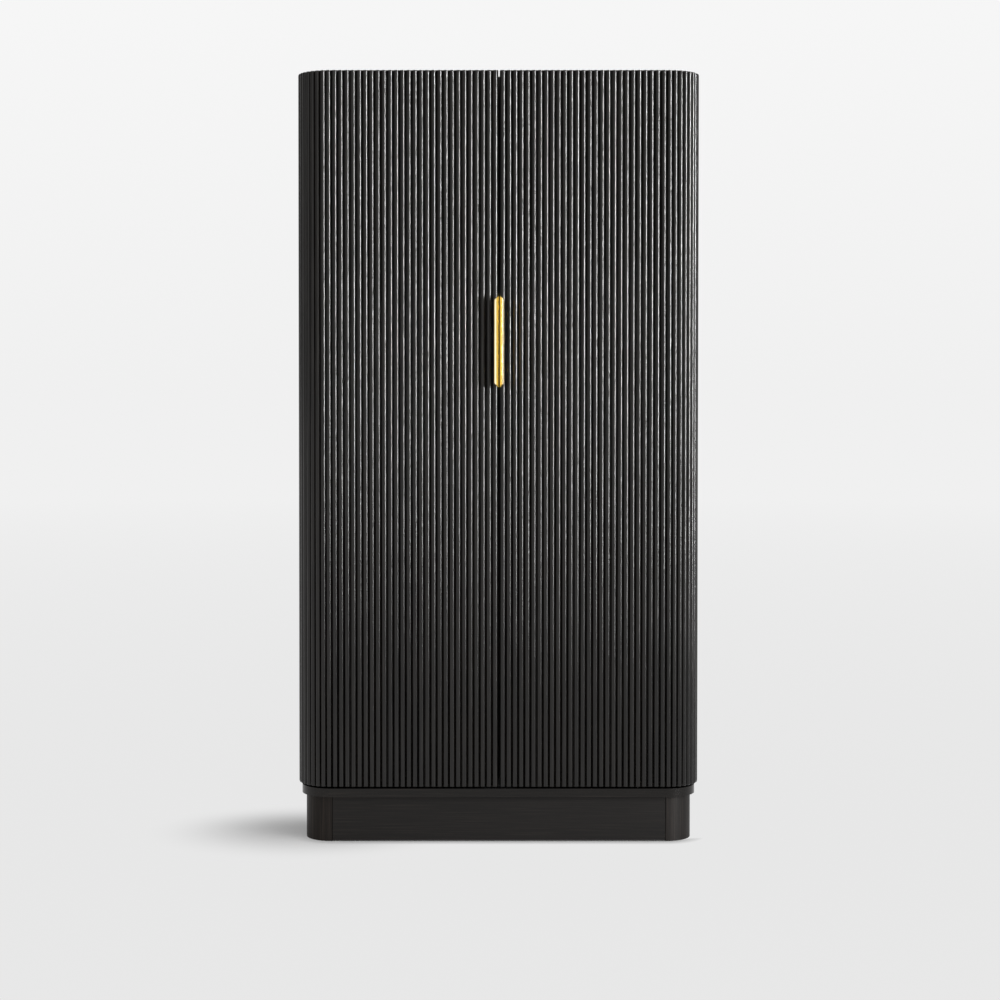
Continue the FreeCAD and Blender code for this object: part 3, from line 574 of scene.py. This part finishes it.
def ease(work, width, chosen=None):
    """Round off the sharp edges of working geometry, or those that are chosen."""
    edges = []
    for edge in work.edges:
        sharp = len(edge.link_faces) == 2 and edge.calc_face_angle() > SMOOTH_BELOW
        if sharp and (chosen is None or chosen(edge)):
            edges.append(edge)
    bmesh.ops.bevel(work, geom=edges, offset=width, segments=3, profile=0.5, affect="EDGES", clamp_overlap=True)


def settled(work, name):
    """Mesh from eased geometry, whose flats keep their own direction up to the rounded edges."""
    return applied(finished(work, name), "WEIGHTED_NORMAL", keep_sharp=True)


def arc(centre, radius, start, end, steps):
    """Points on an arc in plan, angles in degrees from +X."""
    turns = [math.radians(start + (end - start) * i / steps) for i in range(steps + 1)]
    return [(centre[0] + radius * math.cos(a), centre[1] + radius * math.sin(a)) for a in turns]


def round_front(inset, back):
    """Plan outline with both front corners rounded, at an inset from the reed crests."""
    radius = CORNER_RADIUS - inset
    half = HALF_WIDTH - inset
    right = arc((CORNER_X, CORNER_Y), radius, -90, 0, 40)
    left = arc((-CORNER_X, CORNER_Y), radius, 180, 270, 40)
    return [*right, (half, back), (-half, back), *left]


def base_and_top():
    """Base panel, whose rounded edge is the ledge under the doors, and the let-in top."""
    work = bmesh.new()
    prism(work, round_front(REED_HEIGHT, BACK), PLINTH_HEIGHT, BASE_TOP)
    ease(work, LEDGE_EASE, lambda edge: min(v.co.y for v in edge.verts) < BACK - WELD)
    piece("base_ledge", settled(work, "base ledge"), LEDGE_OAK, "case", "black_oak", "base_panel")
    work = bmesh.new()
    low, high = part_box("top_panel")
    prism(work, round_front(CASE_INSET, high.y), TOP_UNDERSIDE, TOP_SURFACE)
    ease(work, TOP_EASE)
    piece("let_in_top", settled(work, "let-in top"), OAK_ACROSS, "case", "black_oak_veneer", "top_panel")


def plinth_posts():
    """Quarter-round front posts of the plinth, with a fine quirk where the rails meet them."""
    turn = math.degrees(POST_QUIRK / PLINTH_ROUND)
    deep = PLINTH_ROUND - POST_QUIRK_DEPTH
    for side, hand in SIDES:
        quarter = [
            *arc((CORNER_X, CORNER_Y), PLINTH_ROUND, turn - 90, -turn, 32),
            (CORNER_X + deep, CORNER_Y - POST_QUIRK), (CORNER_X + deep, CORNER_Y), (CORNER_X, CORNER_Y),
            (CORNER_X, CORNER_Y - deep), (CORNER_X + POST_QUIRK, CORNER_Y - deep),
        ]
        work = bmesh.new()
        prism(work, [(hand * x, y) for x, y in quarter], 0, PLINTH_HEIGHT)
        ease(work, POST_EASE)
        mesh = settled(work, side + " front post")
        piece(side + "_front_post", mesh, POST_OAK, "case", "black_oak", side + "_plinth_front_post")


def hinge_beads():
    """Half-round beads that fill the row of reeds above and below each hinge."""
    ends = [DOOR_BOTTOM]
    for z in HINGE_HEIGHTS:
        ends += [z - HINGE_POCKET, z + HINGE_POCKET]
    ends.append(HEIGHT)
    for side, hand in SIDES:
        work = bmesh.new()
        half_round = arc((CORE_SIDE, HINGE_Y), BEAD_RADIUS, -90, 90, 18)
        for low, high in zip(ends[0::2], ends[1::2]):
            prism(work, [(hand * x, y) for x, y in half_round], low, high)
        ease(work, BEAD_EASE)
        mesh = settled(work, side + " hinge bead")
        piece(side + "_bead", mesh, OAK_UPRIGHT, "case", "black_oak", side + "_hinge_bead")


def eased_copy(node, width):
    """Mesh of a CAD node with its sharp edges rounded off."""
    work = bmesh.new()
    work.from_mesh(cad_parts[node].data)
    bmesh.ops.remove_doubles(work, verts=work.verts, dist=WELD)
    bmesh.ops.dissolve_limit(work, angle_limit=0.01, verts=work.verts, edges=work.edges)
    ease(work, width)
    return settled(work, node)


def rack_ends():
    """Ends of the bottle racks, with the upper corner away from the door rounded."""
    # The outline is drawn in plan and then stands up: its x runs front to back, its y upwards
    stand_up = Matrix(((0, 0, 1, 0), (1, 0, 0, 0), (0, 1, 0, 0), (0, 0, 0, 1)))
    for side, hand in SIDES:
        low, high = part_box(side + "_door_rack_ends")
        end_height = high.z - RACK_HEIGHTS[1]
        work = bmesh.new()
        for height in RACK_HEIGHTS:
            top = height + end_height
            curve = arc((high.y - RACK_END_ROUND, top - RACK_END_ROUND), RACK_END_ROUND, 0, 90, 24)
            outline = [(low.y, height), (high.y, height), *curve, (low.y, top)]
            for x in (low.x, high.x - RACK_END):
                prism(work, outline, x, x + RACK_END)
        bmesh.ops.transform(work, matrix=stand_up, verts=work.verts)
        ease(work, BOARD_EASE)
        node = side + "_door_rack_ends"
        mesh = settled(work, side + " rack ends")
        piece(node + "_rounded", mesh, VENEER_UPRIGHT, side + "_door", "black_oak_veneer", node)


def screw_tree():
    """Rows of screw heads: groups of them in even steps, each head turned its own way."""
    tree, given = new_tree("screw rows", {
        "Groups": "Int", "Group Step": "Vector", "Screws": "Int", "Screw Step": "Vector", "Start": "Vector",
        "Facing": "Rotation", "Seed": "Int", "Material": "Material",
    })
    groups = add(tree, "GeometryNodeMeshLine",
                 {"Count": given["Groups"], "Start Location": given["Start"], "Offset": given["Group Step"]},
                 mode="OFFSET")
    row = add(tree, "GeometryNodeMeshLine", {"Count": given["Screws"], "Offset": given["Screw Step"]}, mode="OFFSET")
    rows = add(tree, "GeometryNodeInstanceOnPoints", {"Points": groups, "Instance": row})
    places = add(tree, "GeometryNodeRealizeInstances", {0: rows})
    spin = add(tree, "FunctionNodeRandomValue",
               {0: (0, 0, 0), 1: (0, 0, math.pi), "Seed": given["Seed"]}, data_type="FLOAT_VECTOR")
    turned = add(tree, "FunctionNodeRotateRotation",
                 {"Rotation": given["Facing"], "Rotate By": spin}, rotation_space="LOCAL")
    heads = add(tree, "GeometryNodeInstanceOnPoints",
                {"Points": places, "Instance": given["Geometry"], "Rotation": turned})
    plain = add(tree, "GeometryNodeRealizeInstances", {0: heads})
    painted = add(tree, "GeometryNodeSetMaterial", {"Geometry": plain, "Material": given["Material"]})
    add(tree, "NodeGroupOutput", {0: painted})
    return tree


def screw_head(radius, rise):
    """Countersunk head with a chamfered rim and a cross recess, facing +Z."""
    work = bmesh.new()
    slot = radius * 0.55
    half = radius * 0.14
    flat = 0.85
    recess_floor = rise * 0.1
    quarter = [(slot, -half), (slot, half), (half, half)]
    cross = []
    for c, d in ((1, 0), (0, 1), (-1, 0), (0, -1)):
        cross += [(c * x - d * y, d * x + c * y) for x, y in quarter]
    rim = arc((0, 0), radius, 0, 337.5, 15)
    crown = [(x * flat, y * flat) for x, y in rim]
    loops = []
    for points, z in ((rim, 0), (crown, rise), (cross, rise), (cross, recess_floor)):
        verts = [work.verts.new((x, y, z)) for x, y in points]
        loops.append([work.edges.new((verts[i - 1], verts[i])) for i in range(len(verts))])
    for one, other in zip(loops, loops[1:]):
        bmesh.ops.bridge_loops(work, edges=one + other)
    bmesh.ops.contextual_create(work, geom=loops[-1])
    return finished(work, "screw head")


SCREW_TREE = screw_tree()
TO_FRONT = (math.pi / 2, 0, 0)
TO_BACK = (-math.pi / 2, 0, 0)


def screws(name, head, material, body, slot, rows):
    """Screws of one kind on one body. A row gives its groups, the step between these, the screws in each, the
    step between those, and the start, facing and hand."""
    work = bmesh.new()
    for groups, group_step, count, step, start, facing, hand in rows:
        mesh = grow(SCREW_TREE, head, {
            "Groups": groups, "Group Step": group_step, "Screws": count, "Screw Step": step, "Start": start,
            "Facing": facing, "Seed": draw.randrange(SEEDS), "Material": material,
        })
        gather(work, mesh, Matrix.Identity(4), hand)
    piece(name, finished(work, name), material, body, slot)


def fitting_screws():
    """Screws of hinges, strike plates and back panel."""
    raised = screw_head(SCREW_RADIUS, SCREW_RISE)
    hinge_step = (0, 0, HINGE_HEIGHTS[1] - HINGE_HEIGHTS[0])
    up = (0, 0, LEAF_SCREW_STEP)
    first = HINGE_HEIGHTS[0] - LEAF_SCREW_STEP
    leaf_rows = (HINGES, hinge_step, LEAF_SCREWS, up)
    case_start = (CORE_SIDE - LEAF_WIDTH + CASE_LEAF_WIDTH / 2, SIDE_FRONT, first)
    door_start = (CORE_SIDE - LEAF_WIDTH / 2, DOOR_END, first)
    in_case = [(*leaf_rows, case_start, TO_FRONT, hand) for side, hand in SIDES]
    screws("case_hinge_screws", raised, BRASS, "case", "brass", in_case)
    for side, hand in SIDES:
        in_door = [(*leaf_rows, door_start, TO_BACK, hand)]
        screws(side + "_hinge_screws", raised, BRASS, side + "_door", "brass", in_door)
        low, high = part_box(side + "_catch_strikes")
        between = (0, 0, high.z - low.z - STRIKE_HEIGHT)
        start = ((low.x + high.x) / 2, high.y, low.z + STRIKE_HEIGHT / 2)
        in_strikes = [(2, between, 1, up, start, TO_BACK, 1)]
        screws(side + "_strike_screws", raised, STEEL, side + "_door", "steel", in_strikes)
    flush = screw_head(BACK_SCREW_RADIUS, BACK_SCREW_RISE)
    low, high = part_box("back_panel")
    width = high.x - low.x - 2 * BACK_SCREW_EDGE
    height = high.z - low.z - 2 * BACK_SCREW_EDGE
    right = width / (BACK_SCREWS_ACROSS - 1)
    upward = height / (BACK_SCREWS_UP - 1)
    corner = (low.x + BACK_SCREW_EDGE, BACK, low.z + BACK_SCREW_EDGE)
    second = (low.x + BACK_SCREW_EDGE + right, BACK, low.z + BACK_SCREW_EDGE)
    on_back = [
        (2, (width, 0, 0), BACK_SCREWS_UP, (0, 0, upward), corner, TO_BACK, 1),
        (2, (0, 0, height), BACK_SCREWS_ACROSS - 2, (right, 0, 0), second, TO_BACK, 1),
    ]
    screws("back_screws", flush, STEEL, "case", "steel", on_back)


base_and_top()
plinth_posts()
hinge_beads()
rack_ends()
fitting_screws()

# Boards of the case whose edges only need easing, with their grain
EASED = {
    "black_oak": (
        ("plinth_front_rail", PLINTH_OAK), ("plinth_rear_rail", PLINTH_OAK),
        ("left_plinth_side_rail", OAK_DEEP), ("right_plinth_side_rail", OAK_DEEP),
        ("left_plinth_rear_post", POST_OAK), ("right_plinth_rear_post", POST_OAK),
    ),
    "black_oak_veneer": (
        ("serving_shelf", OAK_ACROSS), ("upper_shelf", OAK_ACROSS), ("bottle_shelf", OAK_ACROSS),
        ("adjustable_shelf", OAK_ACROSS), ("bottle_cross_rising_board", OAK_DEEP),
        ("bottle_cross_falling_board", OAK_DEEP), ("back_panel", VENEER_UPRIGHT),
    ),
}
for slot, boards in EASED.items():
    for node, oak in boards:
        piece(node + "_eased", eased_copy(node, BOARD_EASE), oak, "case", slot, node)

# Fittings of the doors and the case that only need easing too
for side, hand in SIDES:
    for part, finish, width, material, slot in (
        ("_door_rack_shelves", "_eased", BOARD_EASE, OAK_ACROSS, "black_oak_veneer"),
        ("_door_pull", "_polished", PULL_EASE, PULL_BRASS, "brass"),
        ("_catch_strikes", "_eased", METAL_EASE, STEEL, "steel"),
    ):
        node = side + part
        piece(node + finish, eased_copy(node, width), material, side + "_door", slot, node)
for node, width, material, slot in (
    ("magnet_catches", CATCH_EASE, PLASTIC, "catch_plastic"), ("stemware_rails", METAL_EASE, BRASS, "brass"),
):
    piece(node + "_eased", eased_copy(node, width), material, "case", slot, node)


def both(*parts):
    """Names of the right and the left node of each part."""
    return [side + "_" + part for part in parts for side, hand in SIDES]


# CAD nodes whose shape is right as it is
KEPT = {
    VENEER_UPRIGHT: [*both("side_core", "door_core"), "lower_divider"],
    BRASS: both("door_rack_rails", "hinge_case_leaves", "hinge_door_leaves", "hinge_pins", "pull_posts"),
    STEEL: [*both("pull_screws"), "shelf_pins"],
}
for material, nodes in KEPT.items():
    for node in nodes:
        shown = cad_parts[node].data
        shown.materials.clear()
        shown.materials.append(material)


# Studio: pale floor and background, a column of strip boxes in front on the right that draws the lines of light
# on the reeds, two cards for the pulls and a soft box overhead
PALE_HIGH = tint("#f6f6f6")
PALE_MIDDLE = tint("#f0f0f0")
PALE_NEAR = tint("#e7e7e7")
CONTACT_SHADOW = 0.035
CONTACT_START = 0.005
# A point of the floor is scaled and then shifted, which brings the middle of the shadow patch to zero
SHADOW_SCALE = (2.6, 3.3, 0)
SHADOW_SHIFT = (1.2, 0.38, 0)
FADE_NEAR = 0.5
FADE_FAR = 14
FLOOR_RADIUS = 60
KEY_TURN = math.radians(55)
KEY_DISTANCE = 3.2
STRIP_WIDTH = 0.3
CARD_DISTANCE = 3.2
CARD_MIDDLE = 1.2
CARD_WIDTH = 0.9
CARD_HEIGHT = 2.0


def in_sight(tree):
    """Where the camera, a shine or a clear piece sees the pale surroundings, and the kinds of ray."""
    ray = add(tree, "ShaderNodeLightPath").outputs
    seen = add(tree, "ShaderNodeMath", {0: ray["Is Camera Ray"], 1: ray["Is Glossy Ray"]}, operation="MAXIMUM")
    seen = add(tree, "ShaderNodeMath", {0: seen, 1: ray["Is Transmission Ray"]}, operation="MAXIMUM")
    return seen, ray


def background():
    """Pale world. The camera and the shine see its soft gradient, the shine with darker sides, and it lights
    the object a little less."""
    world = bpy.data.worlds.new("pale studio")
    bpy.context.scene.world = world
    world.use_nodes = True
    tree = world.node_tree
    tree.nodes.clear()
    seen, ray = in_sight(tree)
    way = add(tree, "ShaderNodeTexCoord").outputs["Generated"]
    way = add(tree, "ShaderNodeSeparateXYZ", {0: way}).outputs
    climb = add(tree, "ShaderNodeMapRange", {"Value": way["Z"], 1: 0.0, 2: 0.18})
    pale = add(tree, "ShaderNodeMix", {"Factor": climb, 6: PALE_MIDDLE, 7: PALE_HIGH}, data_type="RGBA")
    sideways = add(tree, "ShaderNodeMath", {0: way["X"]}, operation="ABSOLUTE")
    darker = add(tree, "ShaderNodeMapRange", {"Value": sideways, 1: 0.3, 2: 0.9, 3: 0, 4: 0.65})
    shade = add(tree, "ShaderNodeMath", {0: darker, 1: ray["Is Glossy Ray"]}, operation="MULTIPLY")
    strength = add(tree, "ShaderNodeMath", {0: 1, 1: shade}, operation="SUBTRACT")
    shown = add(tree, "ShaderNodeBackground", {"Color": pale.outputs[2], "Strength": strength})
    light = add(tree, "ShaderNodeBackground", {"Color": (1, 1, 1, 1), "Strength": 0.6})
    mixed = add(tree, "ShaderNodeMixShader", {0: seen, 1: light, 2: shown})
    add(tree, "ShaderNodeOutputWorld", {"Surface": mixed})


def floor():
    """Pale floor that keeps the line of shadow under the plinth and a patch of shadow on the left, and fades
    into the background around them."""
    material, tree = new_material("floor painted pale")
    place = add(tree, "ShaderNodeTexCoord").outputs["Object"]
    depth = add(tree, "ShaderNodeSeparateXYZ", {0: place}).outputs["Y"]
    centred = add(tree, "ShaderNodeVectorMath", {0: place, 1: PLINTH_MIDDLE}, operation="SUBTRACT")
    spread = add(tree, "ShaderNodeVectorMath", {0: centred}, operation="ABSOLUTE")
    outside = add(tree, "ShaderNodeVectorMath", {0: spread, 1: PLINTH_STRAIGHT}, operation="SUBTRACT")
    beyond = add(tree, "ShaderNodeVectorMath", {0: outside, 1: (0, 0, 0)}, operation="MAXIMUM")
    gap = add(tree, "ShaderNodeVectorMath", {0: beyond}, operation="LENGTH").outputs["Value"]
    clear = add(tree, "ShaderNodeMapRange", {"Value": gap, 1: PLINTH_ROUND, 2: PLINTH_ROUND + CONTACT_SHADOW})
    beside = add(tree, "ShaderNodeMapRange",
                 {"Value": depth, 1: PLINTH_FRONT + CONTACT_START, 2: PLINTH_FRONT + CONTACT_SHADOW})
    bright = add(tree, "ShaderNodeMath", {0: clear, 1: beside}, operation="MAXIMUM")
    patch = add(tree, "ShaderNodeMapping",
                {"Vector": place, "Location": SHADOW_SHIFT, "Scale": SHADOW_SCALE}, vector_type="POINT")
    reach = add(tree, "ShaderNodeVectorMath", {0: patch}, operation="LENGTH").outputs["Value"]
    lit = add(tree, "ShaderNodeMapRange", {"Value": reach, 1: 0.0, 2: 1.05, 3: 0.1, 4: 1},
              interpolation_type="SMOOTHERSTEP")
    fade = add(tree, "ShaderNodeMath", {0: bright, 1: lit}, operation="MULTIPLY")
    seen, ray = in_sight(tree)
    bare = add(tree, "ShaderNodeMath", {0: fade, 1: seen}, operation="MULTIPLY")
    paint = add(tree, "ShaderNodeBsdfPrincipled", {"Base Color": tint("#e4e4e4"), "Roughness": 0.9})
    away = add(tree, "ShaderNodeVectorMath", {0: place}, operation="LENGTH").outputs["Value"]
    far = add(tree, "ShaderNodeMapRange", {"Value": away, 1: FADE_NEAR, 2: FADE_FAR})
    pale = add(tree, "ShaderNodeMix", {"Factor": far, 6: PALE_NEAR, 7: PALE_MIDDLE}, data_type="RGBA")
    glow = add(tree, "ShaderNodeEmission", {"Color": pale.outputs[2], "Strength": 1})
    mixed = add(tree, "ShaderNodeMixShader", {0: bare, 1: paint, 2: glow})
    add(tree, "ShaderNodeOutputMaterial", {"Surface": mixed})
    work = bmesh.new()
    bmesh.ops.create_circle(work, cap_ends=True, radius=FLOOR_RADIUS, segments=64)
    mesh = finished(work, "floor")
    mesh.materials.append(material)
    made = bpy.data.objects.new("floor", mesh)
    bpy.context.scene.collection.objects.link(made)


def soft_box(name, place, aim, width, height, radiance, for_shine, lit=None):
    """Soft box of a given brightness, out of the camera's sight. One for the shine only draws highlights,
    and one with chosen pieces lights these alone."""
    light = bpy.data.lights.new(name, "AREA")
    light.shape = "RECTANGLE"
    light.size = width
    light.size_y = height
    light.energy = radiance * math.pi * width * height
    made = bpy.data.objects.new(name, light)
    made.location = place
    made.rotation_euler = (Vector(aim) - Vector(place)).to_track_quat("-Z", "Y").to_euler()
    made.visible_camera = False
    made.visible_diffuse = not for_shine
    made.visible_glossy = for_shine
    made.light_linking.receiver_collection = lit
    bpy.context.scene.collection.objects.link(made)


def camera():
    """Long lens a little above the middle of the doors, tipped down slightly, with some lens shift."""
    lens = bpy.data.cameras.new("camera")
    lens.sensor_width = 36
    lens.lens = 71.45
    lens.shift_x = 0.0358
    lens.shift_y = -0.0688
    made = bpy.data.objects.new("camera", lens)
    made.location = (-0.08, -4.80, 1.05)
    made.rotation_euler = (math.radians(90 - 1.25), 0, 0)
    bpy.context.scene.collection.objects.link(made)
    bpy.context.scene.camera = made


def lamps():
    """Strip boxes one above another, dimmer towards the floor, cards beside the pulls, and overhead light."""
    key_x = KEY_DISTANCE * math.sin(KEY_TURN)
    key_y = FRONT - KEY_DISTANCE * math.cos(KEY_TURN)
    for name, low, high, radiance in (
        ("foot strip box", 0.10, 0.40, 29), ("lower strip box", 0.40, 0.75, 76),
        ("middle strip box", 0.75, 1.15, 118), ("upper strip box", 1.15, 2.60, 145),
    ):
        middle = (low + high) / 2
        place = (key_x, key_y, middle)
        soft_box(name, place, (0, FRONT, middle), STRIP_WIDTH, high - low, radiance, for_shine=True)
    pulls = bpy.data.collections.new("pulls")
    for side, hand in SIDES:
        pulls.objects.link(bpy.data.objects[side + "_door_pull_polished"])
    for name, x, radiance in (("left card", -CARD_DISTANCE, 1.4), ("right card", CARD_DISTANCE, 0.1)):
        soft_box(name, (x, FRONT, CARD_MIDDLE), (0, FRONT, CARD_MIDDLE), CARD_WIDTH, CARD_HEIGHT, radiance,
                 for_shine=True, lit=pulls)
    soft_box("overhead soft box", (1.4, -1.6, 4.4), (0, -0.4, 0), width=2.0, height=2.0, radiance=2.5,
             for_shine=False)


background()
floor()
lamps()
camera()
bpy.context.scene.view_settings.view_transform = "Standard"
